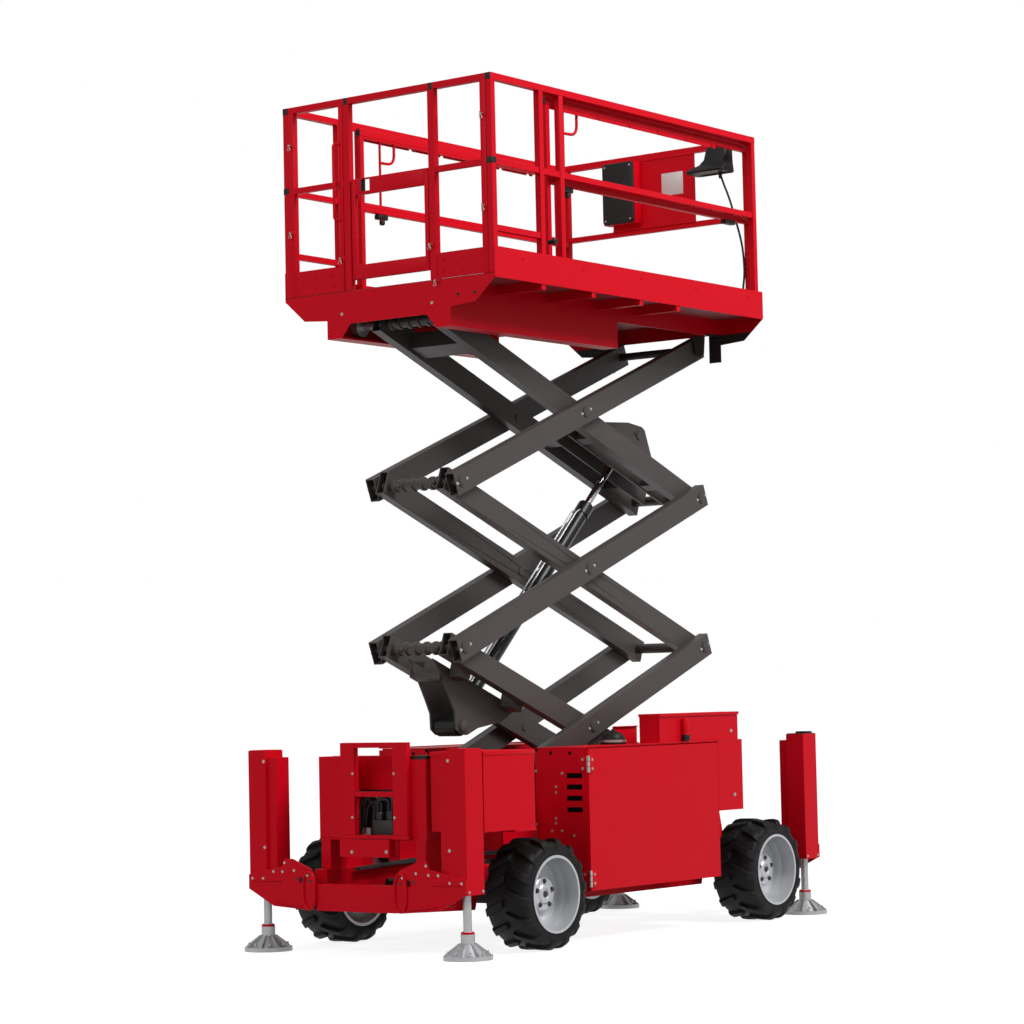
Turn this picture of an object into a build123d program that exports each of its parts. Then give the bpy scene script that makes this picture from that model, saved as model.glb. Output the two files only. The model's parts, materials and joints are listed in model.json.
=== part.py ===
from build123d import *
import math
import os

# Scissor lift on wheels and levelling jacks, millimetres. +Z up, front towards +X, right side towards -Y.
# The origin is on the ground, midway between the jacks and midway between the tyres.

# Scissor
ARM_LENGTH = 2700.0
ARM_ANGLE = 21.1
PIVOT_X = 1293.0
PIVOT_Z = 778.0
ARM_DEPTH = 140.0
ARM_WALL = 6.0
ARM_OVERHANG = 60.0
OUTER_Y = (270.0, 336.0)
INNER_Y = (197.0, 262.0)
PIN_R = 25.0
BORE_R = 25.06
OPEN_BORE_R = 25.3
TUBE_R = 32.0
TUBE_BORE_R = 29.0
KEEPER_Y = 340.0
KEEPER_R = 36.0
ROLLER_R = 66.0
TOP_ROLLER_R = 60.0
RISE = ARM_LENGTH * math.sin(math.radians(ARM_ANGLE))
REACH = ARM_LENGTH * math.cos(math.radians(ARM_ANGLE))
REAR_X = PIVOT_X - REACH
TOP_Z = PIVOT_Z + 3 * RISE

# Lift cylinder: foot and eye as distances along and above the inner arms
FOOT_ALONG = 2289.0
FOOT_ABOVE = -340.0
EYE_ALONG = 450.0
EYE_ABOVE = 263.0
BARREL_R = 46.0
BARREL_BORE_R = 38.0
BARREL_LENGTH = 1984.0
GLAND_R = 52.0
GLAND_LENGTH = 90.0
ROD_R = 24.0
ROD_LENGTH = 1840.0
EYE_R = 42.0
EYE_PIN_R = 20.0
FOOT_R_BOSS = 58.0
LOWER_CHEEK_Y = (88.0, 100.0)
UPPER_CHEEK_Y = (66.0, 80.0)

# Wheels
TYRE_R = 322.0
BEAD_R = 216.0
CARCASS_R = 298.0
SHOULDER_Y = 146.0
SHOULDER_CHAMFER = 28.0
TYRE_SIDES = 28
LUGS_PER_SIDE = 14
LUG_WIDTH = 40.0
LUG_LEAN = 24.0
TREAD_Y = 725.0
REAR_AXLE_X = -1115.0
FRONT_AXLE_X = 1240.0
KINGPIN_Y = 575.0
SPINDLE_R = 30.0

# Levelling jacks
JACK_X = 1780.0
JACK_Y = 745.0
JACK_HALF_X = 78.0
JACK_HALF_Y = 65.0
JACK_Z = (360.0, 1170.0)
JACK_WALL = 8.0
ROD_JACK_R = 24.0
FOOT_R = 140.0

# Chassis
RAIL_Y = (310.0, 400.0)
RAIL_Z = (230.0, 480.0)
RAIL_END_X = 1750.0
TRAY_X = (-673.0, 711.0)
TRAY_Y = (410.0, 800.0)
TRAY_Z = (310.0, 1150.0)

# Platform
DECK_X = (-1471.0, 1372.0)
CHANNEL_FRONT = 200.0
FLOOR_TOP = 190.0
RAIL_TOP_Z = 5041.0


def box(x0, x1, y0, y1, z0, z1):
    centre = Pos((x0 + x1) / 2, (y0 + y1) / 2, (z0 + z1) / 2)
    return centre * Box(abs(x1 - x0), abs(y1 - y0), abs(z1 - z0))


def prism(points, axis, low, high, radius=0.0):
    """An outline in the two other axes, carried along one axis; radius rounds its corners."""
    if axis == "x":
        corners = [(low, a, b) for a, b in points]
        way = (1, 0, 0)
    elif axis == "y":
        corners = [(a, low, b) for a, b in points]
        way = (0, 1, 0)
    else:
        corners = [(a, b, low) for a, b in points]
        way = (0, 0, 1)
    face = make_face(Polyline(*corners, close=True))
    if radius:
        face = fillet(face.vertices(), radius)
    return extrude(face, amount=high - low, dir=way)


def bar(axis, a, b, radius, low, high):
    """A round bar along one axis, its centre given in the two other axes."""
    middle = (low + high) / 2
    length = abs(high - low)
    if axis == "x":
        return Pos(middle, a, b) * Rot(0, 90, 0) * Cylinder(radius, length)
    if axis == "y":
        return Pos(a, middle, b) * Rot(90, 0, 0) * Cylinder(radius, length)
    return Pos(a, b, middle) * Cylinder(radius, length)


def ring(axis, a, b, outer, inner, low, high):
    return bar(axis, a, b, outer, low, high) - bar(axis, a, b, inner, low - 1, high + 1)


def mirrored(shape):
    return mirror(shape, about=Plane.XZ)


def both(shape):
    """The shape on the right side and its mirror image on the left."""
    return shape + mirrored(shape)


def pair(*shapes):
    """The shapes and their mirror images, kept apart as touching solids."""
    return list(shapes) + [mirrored(shape) for shape in shapes]


def save(name, shapes):
    """Writes one piece; a list of touching solids stays a list of solids."""
    solids = []
    for shape in shapes:
        solids.extend(shape.solids())
    made = Compound(children=solids) if len(solids) > 1 else solids[0]
    export_step(made, "parts/" + name + ".step")


os.makedirs("parts", exist_ok=True)


# ---------------------------------------------------------------- scissor
def arm_point(kind, stage, along, above):
    """X and Z of a point given along an arm from its lower pivot and above its centre line."""
    angle = math.radians(ARM_ANGLE)
    base_z = PIVOT_Z + (stage - 1) * RISE
    if kind == "inner":
        x = PIVOT_X - along * math.cos(angle) + above * math.sin(angle)
    else:
        x = REAR_X + along * math.cos(angle) - above * math.sin(angle)
    return x, base_z + along * math.sin(angle) + above * math.cos(angle)


def arm_outline(kind, stage, points):
    return [arm_point(kind, stage, along, above) for along, above in points]


def arm_tube(kind, stage, y0, y1):
    """One straight rectangular tube, open at both ends."""
    half = ARM_DEPTH / 2
    low = -ARM_OVERHANG
    high = ARM_LENGTH + ARM_OVERHANG
    skin = [(low, -half), (high, -half), (high, half), (low, half)]
    core = half - ARM_WALL
    hollow = [(low - 5, -core), (high + 5, -core), (high + 5, core), (low - 5, core)]
    outside = prism(arm_outline(kind, stage, skin), "y", y0, y1)
    inside = prism(arm_outline(kind, stage, hollow), "y", y0 + ARM_WALL, y1 - ARM_WALL)
    return outside - inside


def inner_arms(stage, rear_bore, front_bore):
    """Two arm tubes, bored at front, middle and rear, with a cross tube round each end pin."""
    arm = arm_tube("inner", stage, *INNER_Y)
    for along, radius in ((0, front_bore), (ARM_LENGTH / 2, BORE_R), (ARM_LENGTH, rear_bore)):
        x, z = arm_point("inner", stage, along, 0)
        arm = arm - bar("y", x, z, radius, INNER_Y[0] - 5, INNER_Y[1] + 5)
    pieces = [arm, mirrored(arm)]
    for along in (0, ARM_LENGTH):
        x, z = arm_point("inner", stage, along, 0)
        pieces.append(ring("y", x, z, TUBE_R, TUBE_BORE_R, -INNER_Y[0], INNER_Y[0]))
    return pieces


def outer_arms(stage, through, bored):
    """Two arm tubes with a centre pin stub each, shafts through the ends named, and bores at the others."""
    arm = arm_tube("outer", stage, *OUTER_Y)
    pieces = []
    for along, radius in [(ARM_LENGTH / 2, PIN_R)] + [(u, PIN_R) for u in through] + [(u, BORE_R) for u in bored]:
        x, z = arm_point("outer", stage, along, 0)
        arm = arm - bar("y", x, z, radius, OUTER_Y[0] - 5, OUTER_Y[1] + 5)
    x, z = arm_point("outer", stage, ARM_LENGTH / 2, 0)
    pieces += pair(arm, bar("y", x, z, PIN_R, INNER_Y[0] - 6, OUTER_Y[1]))
    pieces += pair(bar("y", x, z, KEEPER_R, OUTER_Y[1], KEEPER_Y))
    for along in through:
        x, z = arm_point("outer", stage, along, 0)
        pieces.append(bar("y", x, z, PIN_R, -OUTER_Y[1], OUTER_Y[1]))
        pieces += pair(bar("y", x, z, KEEPER_R, OUTER_Y[1], KEEPER_Y))
    return pieces


# Stage 1 inner arms, with the two hanging cheeks that take the cylinder's foot
LOWER_CHEEK = [
    (2690, -60), (2600, -110), (2459, -225), (2385, -290), (2345, -378), (2289, -392), (2235, -375),
    (2150, -300), (1950, -190), (1830, -60),
]
LOWER_TUBE = (2560, -128)
LOWER_TIES = ((2440, 2520), (1900, 2000))
inner_1 = inner_arms(1, BORE_R, BORE_R)
foot_x, foot_z = arm_point("inner", 1, FOOT_ALONG, FOOT_ABOVE)
cheek = prism(arm_outline("inner", 1, LOWER_CHEEK), "y", *LOWER_CHEEK_Y)
inner_1 += pair(cheek, bar("y", foot_x, foot_z, 44, LOWER_CHEEK_Y[1], LOWER_CHEEK_Y[1] + 10))
tube_x, tube_z = arm_point("inner", 1, *LOWER_TUBE)
inner_1.append(bar("y", tube_x, tube_z, 26, -LOWER_CHEEK_Y[0], LOWER_CHEEK_Y[0]))
for near, far in LOWER_TIES:
    tie = [(near, -110), (far, -110), (far, -10), (near, -10)]
    inner_1 += pair(prism(arm_outline("inner", 1, tie), "y", LOWER_CHEEK_Y[1], INNER_Y[0]))
save("arms_inner_1", inner_1)

save("arms_inner_2", inner_arms(2, OPEN_BORE_R, OPEN_BORE_R))

# Stage 3 inner arms, with the two cheeks above them that take the cylinder's eye
UPPER_CHEEK = [
    (60, -55), (1150, -55), (1150, 45), (916, 148), (588, 293), (437, 329), (400, 322), (356, 275),
    (258, 171), (180, 70), (60, 55),
]
UPPER_TIES = ((260, 340), (1000, 1080))
BEAM = [(2330, -52), (2470, -52), (2470, 52), (2330, 52)]
inner_3 = inner_arms(3, BORE_R, BORE_R)
eye_x, eye_z = arm_point("inner", 3, EYE_ALONG, EYE_ABOVE)
inner_3 += pair(prism(arm_outline("inner", 3, UPPER_CHEEK), "y", *UPPER_CHEEK_Y))
tube_x, tube_z = arm_point("inner", 3, 240, 110)
inner_3.append(bar("y", tube_x, tube_z, 28, -UPPER_CHEEK_Y[0], UPPER_CHEEK_Y[0]))
inner_3.append(bar("y", eye_x, eye_z, EYE_PIN_R, -UPPER_CHEEK_Y[0], UPPER_CHEEK_Y[0]))
for near, far in UPPER_TIES:
    tie = [(near, -50), (far, -50), (far, 45), (near, 45)]
    inner_3 += pair(prism(arm_outline("inner", 3, tie), "y", UPPER_CHEEK_Y[1], INNER_Y[0]))
# Wide box beam across the frame near its rear end
inner_3.append(prism(arm_outline("inner", 3, BEAM), "y", -INNER_Y[0], INNER_Y[0]))
save("arms_inner_3", inner_3)

save("arms_outer_2", outer_arms(2, (0, ARM_LENGTH), ()))
save("arms_outer_3", outer_arms(3, (0,), (ARM_LENGTH,)))

# Stage 1 outer arms carry a roller at each foot
outer_1 = outer_arms(1, (0, ARM_LENGTH), ())
outer_1 += pair(
    bar("y", REAR_X, PIVOT_Z, PIN_R, KEEPER_Y, 350), bar("y", REAR_X, PIVOT_Z, ROLLER_R, 350, 390)
)
save("arms_outer_1", outer_1)

# Top rollers on a shaft through the stage 3 inner arms
top_shaft = bar("y", REAR_X, TOP_Z, PIN_R, -450, 450)
for side in (-1, 1):
    top_shaft = top_shaft + bar("y", REAR_X, TOP_Z, TOP_ROLLER_R, side * 400, side * 450)
save("top_rollers", [top_shaft])


# ---------------------------------------------------------------- lift cylinder
def toward(start, end, length):
    span = math.hypot(end[0] - start[0], end[1] - start[1])
    return (
        start[0] + (end[0] - start[0]) * length / span,
        start[1] + (end[1] - start[1]) * length / span,
    )


def slanted(start, end, radius):
    """A round bar in the middle plane from one XZ point to another."""
    length = math.hypot(end[0] - start[0], end[1] - start[1])
    way = Vector(end[0] - start[0], 0, end[1] - start[1])
    plane = Plane(origin=(start[0], 0, start[1]), z_dir=way)
    return plane * Pos(0, 0, length / 2) * Cylinder(radius, length)


eye = (eye_x, eye_z)
foot = (foot_x, foot_z)
rod = slanted(eye, toward(eye, foot, ROD_LENGTH), ROD_R)
rod = rod + bar("y", eye_x, eye_z, EYE_R, -58, 58)
rod = rod - bar("y", eye_x, eye_z, EYE_PIN_R + 0.05, -70, 70)
save("lift_rod", [rod])

gland = toward(foot, eye, BARREL_LENGTH - GLAND_LENGTH)
mouth = toward(foot, eye, BARREL_LENGTH)
barrel = slanted(foot, mouth, BARREL_R) + slanted(gland, mouth, GLAND_R)
barrel = barrel - slanted(toward(foot, eye, 100), gland, BARREL_BORE_R)
barrel = barrel - slanted(toward(foot, eye, 120), toward(foot, eye, BARREL_LENGTH + 10), ROD_R + 0.1)
barrel = barrel + bar("y", foot_x, foot_z, FOOT_R_BOSS, -76, 76)
save("lift_barrel", [barrel])


# ---------------------------------------------------------------- wheels
def many_sided(low, high, radius):
    """A regular prism along the Y axis, its corners at one radius."""
    plane = Plane(origin=(0, low, 0), x_dir=(1, 0, 0), z_dir=(0, 1, 0))
    return extrude(plane * RegularPolygon(radius, TYRE_SIDES), amount=high - low, dir=(0, 1, 0))


def tyre():
    """Tyre about the Y axis: a many-sided carcass and two rows of leaning tread bars."""
    carcass = many_sided(-SHOULDER_Y, SHOULDER_Y, CARCASS_R)
    carcass = chamfer(carcass.edges().filter_by(Plane.XZ), SHOULDER_CHAMFER)
    carcass = carcass - many_sided(-SHOULDER_Y - 5, SHOULDER_Y + 5, BEAD_R / math.cos(math.pi / TYRE_SIDES))
    lug_side = [(6, 280), (6, 318.6), (124, 318.6), (149, 286), (152, 262), (120, 262)]
    lug = prism(lug_side, "x", -LUG_WIDTH / 2, LUG_WIDTH / 2)
    lug = lug.rotate(Axis((0, 77, 0), (0, 0, 1)), LUG_LEAN)
    pitch = 360.0 / LUGS_PER_SIDE
    lugs = []
    for n in range(LUGS_PER_SIDE):
        lugs.append(Rot(0, n * pitch, 0) * lug)
        lugs.append(Rot(0, (n + 0.5) * pitch, 0) * mirrored(lug))
    return carcass.fuse(*lugs)


def rim():
    """Deep dished rim about the Y axis with a raised hub plate, its outer side towards +Y."""
    outline = [
        (SPINDLE_R + 0.05, -40), (90, -40), (90, -8), (184, -2), (198, -95), (206, -153), (223, -153),
        (223, -147), (215.9, -146.5), (215.9, 146.5), (223, 147), (223, 153), (208, 153), (199, 60),
        (184, 12), (108, 8), (104, 40), (70, 40), (62, 62), (SPINDLE_R + 0.05, 62),
    ]
    section = make_face(Polyline(*[(r, across, 0) for r, across in outline], close=True))
    return revolve(section, Axis.Y, 360)


whole_tyre = tyre()
whole_rim = rim()
WHEELS = (
    ("rear_right", REAR_AXLE_X, -1),
    ("rear_left", REAR_AXLE_X, 1),
    ("front_right", FRONT_AXLE_X, -1),
    ("front_left", FRONT_AXLE_X, 1),
)
for name, x, side in WHEELS:
    place = Pos(x, side * TREAD_Y, TYRE_R)
    save("tyre_" + name, [place * whole_tyre])
    save("rim_" + name, [place * (whole_rim if side > 0 else mirrored(whole_rim))])

# Axles and steering knuckles
rear_axle = box(REAR_AXLE_X - 55, REAR_AXLE_X + 55, -560, 560, 262, 378)
rear_axle = rear_axle + both(box(REAR_AXLE_X - 80, REAR_AXLE_X + 80, 310, 400, 378, 392))
for side in (-1, 1):
    rear_axle = rear_axle + bar("y", REAR_AXLE_X, TYRE_R, 85, side * 560, side * 600)
    rear_axle = rear_axle + bar("y", REAR_AXLE_X, TYRE_R, SPINDLE_R, side * 600, side * 780)
save("axle_rear", [rear_axle])

front_axle = box(FRONT_AXLE_X - 50, FRONT_AXLE_X + 50, -480, 480, 267, 377)
front_axle = front_axle + both(box(FRONT_AXLE_X - 80, FRONT_AXLE_X + 80, 310, 400, 377, 392))
for z0, z1 in ((230, 262), (382, 414)):
    arm = box(FRONT_AXLE_X - 50, FRONT_AXLE_X + 50, 490, KINGPIN_Y, z0, z1)
    arm = arm + bar("z", FRONT_AXLE_X, KINGPIN_Y, 50, z0, z1)
    arm = arm - bar("z", FRONT_AXLE_X, KINGPIN_Y, 20.05, z0 - 5, z1 + 5)
    front_axle = front_axle + both(arm)
front_axle = front_axle + both(box(FRONT_AXLE_X - 50, FRONT_AXLE_X + 50, 470, 505, 230, 414))
save("axle_front", [front_axle])

knuckle = bar("z", FRONT_AXLE_X, KINGPIN_Y, 48, 268, 376)
knuckle = knuckle + bar("z", FRONT_AXLE_X, KINGPIN_Y, 20, 225, 419)
knuckle = knuckle + box(FRONT_AXLE_X - 40, FRONT_AXLE_X + 40, KINGPIN_Y, 655, 275, 369)
knuckle = knuckle + bar("y", FRONT_AXLE_X, TYRE_R, 80, 650, 670)
knuckle = knuckle + bar("y", FRONT_AXLE_X, TYRE_R, SPINDLE_R, 665, 780)
save("knuckle_left", [knuckle])
save("knuckle_right", [mirrored(knuckle)])


# ---------------------------------------------------------------- chassis
def rail():
    """One box-section rail, arched over both axles."""
    low, high = RAIL_Z
    outline = [(-RAIL_END_X, low + 20)]
    for x in (REAR_AXLE_X, FRONT_AXLE_X):
        outline += [(x - 150, low), (x - 100, 392), (x + 100, 392), (x + 150, low)]
    outline += [(RAIL_END_X, low + 20), (RAIL_END_X, high), (-RAIL_END_X, high)]
    face = make_face(Polyline(*[(x, RAIL_Y[0], z) for x, z in outline], close=True))
    solid = extrude(face, amount=RAIL_Y[1] - RAIL_Y[0], dir=(0, 1, 0))
    core = extrude(offset(face, amount=-8), amount=RAIL_Y[1] - RAIL_Y[0] - 16, dir=(0, 1, 0))
    return solid - Pos(0, 8, 0) * core


rails = pair(rail())
for x in (-1400, -640, 0, 700, 1450):
    rails.append(box(x - 40, x + 40, -RAIL_Y[0], RAIL_Y[0], 250, 340))
save("chassis_rails", rails)

# Scissor base: channels for the lower rollers, webs down to the rails, and the front lugs
FRONT_LUG = [(1150, 480), (1430, 480), (1350, 800), (1290, 845), (1230, 800)]
base = pair(
    box(-1490, -10, 395, 405, 700, 856), box(-1490, -10, 345, 395, 700, 710), box(-1490, -10, 345, 395, 846, 856)
)
for x in (-1490, -20):
    base += pair(box(x, x + 10, 345, 395, 710, 846))
for x0, x1 in ((-1480, -1240), (-990, -700), (-300, -40)):
    base += pair(box(x0, x1, 385, 400, 480, 700))
front_pin = bar("y", PIVOT_X, PIVOT_Z, PIN_R, -357, 357)
for y0, y1 in ((345, 357), (310, 322)):
    base += pair(prism(FRONT_LUG, "y", y0, y1) - front_pin)
base.append(front_pin)
save("scissor_base", base)

# End frames: cross beams, outriggers under the jack housings and the outer bracket plates
BRACKET_END = [
    (300, 290), (300, 440), (330, 490), (470, 545), (530, 545), (550, 500), (810, 450), (810, 365),
    (620, 270), (330, 250),
]


def end_frame(sign):
    x_in, x_out = sorted((sign * 1750, sign * 1858))
    plate_x = sorted((sign * 1858, sign * 1870))
    plate = prism(BRACKET_END, "x", plate_x[0], plate_x[1])
    plate = plate - bar("x", 400, 420, 20, plate_x[0] - 5, plate_x[1] + 5)
    return [box(x_in, x_out, -300, 300, 250, 400)] + pair(box(x_in, x_out, 300, 640, 290, 359), plate)


save("end_frame_rear", end_frame(-1))
save("end_frame_front", end_frame(1))


def jack_housing():
    """Square tube closed at the top, with a guide plate below and the inner barrel."""
    x0, x1 = JACK_X - JACK_HALF_X, JACK_X + JACK_HALF_X
    y0, y1 = JACK_Y - JACK_HALF_Y, JACK_Y + JACK_HALF_Y
    wall = JACK_WALL
    z0, z1 = JACK_Z
    housing = box(x0, x1, y0, y1, z0, z1)
    housing = housing - box(x0 + wall, x1 - wall, y0 + wall, y1 - wall, z0 + 20, z1 - wall)
    housing = housing + box(x0 + 20, x1 - 20, 615, y0 + 1, z0, z1 - 40)
    housing = housing + bar("z", JACK_X, JACK_Y, 35, z0 + 19, z1 - 60)
    housing = housing - bar("z", JACK_X, JACK_Y, 27, z0 + 25, z1 - 80)
    return housing - bar("z", JACK_X, JACK_Y, ROD_JACK_R + 0.1, z0 - 5, z0 + 60)


def jack_leg():
    leg = bar("z", JACK_X, JACK_Y, ROD_JACK_R, 130, 850)
    leg = leg + Pos(JACK_X, JACK_Y, 12) * Cylinder(FOOT_R, 24)
    leg = leg + Pos(JACK_X, JACK_Y, 55) * Cone(FOOT_R - 32, 45, 64)
    rib = prism([(38, 23), (FOOT_R - 6, 23), (FOOT_R - 6, 32), (52, 92), (38, 92)], "y", -4, 4)
    for n in range(8):
        leg = leg + Pos(JACK_X, JACK_Y, 0) * Rot(0, 0, 22.5 + n * 45) * rib
    return leg + bar("z", JACK_X, JACK_Y, 40, 86, 142)


JACKS = (("front_left", 1, 1), ("front_right", 1, -1), ("rear_left", -1, 1), ("rear_right", -1, -1))
for name, x_sign, y_sign in JACKS:
    housing = jack_housing()
    leg = jack_leg()
    if x_sign < 0:
        housing = mirror(housing, about=Plane.YZ)
        leg = mirror(leg, about=Plane.YZ)
    if y_sign < 0:
        housing = mirrored(housing)
        leg = mirrored(leg)
    save("jack_" + name, [housing])
    save("jack_leg_" + name, [leg])

# Rear centre box with the ladder in it
rear_box = [box(-1570, -1560, -400, 400, 650, 1130), box(-1700, -1570, -400, 400, 650, 660)]
rear_box += [box(-1700, -1570, -400, -292, 660, 1130), box(-1700, -1570, 200, 400, 660, 1130)]
rear_box += pair(box(-1700, -1560, 320, 390, 480, 650))
save("rear_box", rear_box)

ladder = [box(-1740, -1700, -300, 215, 656, 680)]
for y in (150, -240):
    ladder.append(box(-1740, -1700, y - 52, y + 52, 680, 1210))
for z in (900, 1180):
    ladder.append(box(-1738, -1702, -188, 98, z, z + 30))
ladder.append(box(-1760, -1700, -170, 200, 555, 656))
save("ladder", ladder)

toolbox = box(-1680, -1200, -800, -420, 700, 1150)
toolbox = toolbox + box(-1600, -1250, -421, -405, 720, 840)
save("toolbox", [toolbox])


# ---------------------------------------------------------------- side trays
def tray():
    """Left side tray: floor, inner wall, ends and top, open outwards where the door closes."""
    x0, x1 = TRAY_X
    y0, y1 = TRAY_Y
    z0, z1 = TRAY_Z
    lip = y1 - 28
    walls = [box(x0, x1, y0, y0 + 6, z0, z1), box(x0, x1, y0 + 6, lip, z0, z0 + 6)]
    walls += [box(x0, x1, y0 + 6, lip, z1 - 6, z1), box(x0, x0 + 6, y0 + 6, lip, z0 + 6, z1 - 6)]
    walls += [box(x1 - 6, x1, y0 + 6, lip, z0 + 6, z1 - 6), box(x1, 985, y0, y1, 720, z1)]
    walls.append(box(-300, 300, 400, y0, 320, 470))
    return walls


tray_left = tray()
tray_right = [mirrored(wall) for wall in tray()]
tray_right += [box(112, 981, -774, -624, 1150, 1312), box(108, 985, -782, -620, 1312, 1330)]
save("tray_left", tray_left)
save("tray_right", tray_right)
save("engine_block", [box(-420, 420, -740, -470, 317, 900)])

door = box(TRAY_X[0] + 2, TRAY_X[1] - 2, 773, 800, TRAY_Z[0], TRAY_Z[1] - 10)
door = door - box(TRAY_X[0] + 6, TRAY_X[1] - 6, 760, 796, TRAY_Z[0] + 4, TRAY_Z[1] - 14)
for z in (330, 1000):
    door = door + bar("z", -683, 806, 9, z, z + 100) + box(-683, -640, 800, 806, z, z + 100)
save("door_left", [door])
save("door_right", [mirrored(door)])


# ---------------------------------------------------------------- platform
def half_plate(points, x0, x1):
    """One half of an end plate of the platform, heights counted from the top pivots."""
    return prism([(y, TOP_Z + z) for y, z in points], "x", x0, x1)


DECK_REAR, DECK_FRONT = DECK_X
SLOPE = [(795, 185), (795, 162), (650, 36), (470, 22), (470, -90)]
REAR_PLATE = [(0, 185)] + SLOPE + [(360, -90), (290, -8), (0, -8)]
FRONT_PLATE = [(0, 185)] + SLOPE + [(380, -90), (380, 90), (0, 90)]
frame = pair(half_plate(REAR_PLATE, DECK_REAR, DECK_REAR + 6))
frame += pair(half_plate(FRONT_PLATE, DECK_FRONT - 6, DECK_FRONT))
inside_x = (DECK_REAR + 6, DECK_FRONT - 6)
frame += pair(box(DECK_REAR, DECK_FRONT, 796, 800, TOP_Z + 162, TOP_Z + 341))
frame += pair(box(*inside_x, 460, 470, TOP_Z + 74, TOP_Z + 185))
frame += pair(box(inside_x[0], CHANNEL_FRONT, 460, 470, TOP_Z - 90, TOP_Z + 74))
frame += pair(box(inside_x[0], CHANNEL_FRONT, 360, 460, TOP_Z - 90, TOP_Z - 78))
frame += pair(box(inside_x[0], CHANNEL_FRONT, 360, 460, TOP_Z + 62, TOP_Z + 74))
lug = prism([(1200, 185), (1366, 185), (1340, -30), (1290, -50), (1240, -30)], "y", 345, 357)
top_pin = bar("y", PIVOT_X, TOP_Z, PIN_R, -357, 357)
frame += pair(Pos(0, 0, TOP_Z) * lug - top_pin)
frame.append(top_pin)
for x in (-1000, -500, 0, 400):
    frame.append(box(x - 20, x + 20, -460, 460, TOP_Z + 130, TOP_Z + 185))
    frame += pair(box(x - 20, x + 20, 470, 795, TOP_Z + 130, TOP_Z + 185))
save("platform_frame", frame)

floor_z = TOP_Z + FLOOR_TOP
save("platform_floor", [box(*inside_x, -796, 796, floor_z - 5, floor_z)])


def side_rails():
    """Left guard rail of the main platform, as touching tubes."""
    under = RAIL_TOP_Z - 40
    tubes = [box(DECK_REAR, 1330, 756, 796, under, RAIL_TOP_Z)]
    for x in (DECK_REAR, -1010, 1290):
        tubes.append(box(x, x + 40, 756, 796, floor_z, under))
    tubes.append(box(DECK_REAR + 40, -1010, 761, 791, 4510, 4546))
    tubes.append(box(-970, 1290, 761, 791, 4510, 4546))
    tubes.append(box(DECK_REAR + 40, -1010, 761, 791, 4126, 4162))
    return tubes


left_rails = side_rails()
save("rails_left", left_rails)
save("rails_right", [mirrored(tube) for tube in left_rails])
rear_rails = [box(DECK_REAR, DECK_REAR + 40, -756, 756, RAIL_TOP_Z - 40, RAIL_TOP_Z)]
for y in (-375, 275):
    rear_rails.append(box(DECK_REAR, DECK_REAR + 40, y, y + 50, floor_z, RAIL_TOP_Z - 40))
for y0, y1 in ((-756, -375), (325, 756)):
    rear_rails.append(box(DECK_REAR, DECK_REAR + 30, y0, y1, 4510, 4546))
    rear_rails.append(box(DECK_REAR, DECK_REAR + 4, y0, y1, floor_z, TOP_Z + 341))
save("rails_rear", rear_rails)

gate = [box(-1468, -1440, -288, 238, 4445, 4545), box(-1468, -1440, -288, 238, floor_z + 60, floor_z + 145)]
for y in (-318, 238):
    gate.append(box(-1468, -1440, y, y + 30, floor_z + 60, 4545))
for z in (floor_z + 300, 4480):
    gate.append(box(-1440, -1421, -318, -300, z, z + 40) + bar("z", -1421, -322, 9, z, z + 40))
save("gate", gate)

# Extension: a second deck on the first, with its own rails inside the main ones
EXT_REAR, EXT_FRONT = -860.0, 1366.0
ext_deck = [box(EXT_REAR, EXT_FRONT, -740, 740, floor_z + 8, floor_z + 12)]
ext_deck.append(box(EXT_FRONT - 6, EXT_FRONT, -736, 736, floor_z + 12, floor_z + 150))
ext_deck += pair(box(EXT_REAR, EXT_FRONT, 736, 740, floor_z + 12, floor_z + 60))
ext_deck += pair(box(EXT_REAR, EXT_FRONT - 60, 560, 600, floor_z + 0.5, floor_z + 8))
save("extension_deck", ext_deck)

front = EXT_FRONT - 6
ext_rails = [box(front - 36, front, -736, 736, RAIL_TOP_Z - 40, RAIL_TOP_Z)]
ext_rails.append(box(front - 36, front, -700, 700, 4510, 4546))
ext_rails += pair(box(front - 36, front, 700, 736, floor_z + 12, RAIL_TOP_Z - 40))
ext_rails += pair(box(EXT_REAR, EXT_REAR + 36, 700, 736, floor_z + 12, 4950))
ext_rails += pair(box(EXT_REAR, front - 36, 700, 736, 4950, 4990))
ext_rails += pair(box(EXT_REAR + 36, front - 36, 700, 736, 4480, 4505))
save("extension_rails", ext_rails)
panel = [box(front - 42, front - 36, -333, 330, 4540, 5000)]
panel.append(box(1240, front - 42, 100, 350, 4580, 4990))
save("front_panel", panel)
save("control_box", [box(1170, front - 36, -640, -380, 4830, 5030)])
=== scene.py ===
import json
import math

import bmesh
import bpy
from mathutils import Matrix, Vector


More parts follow.
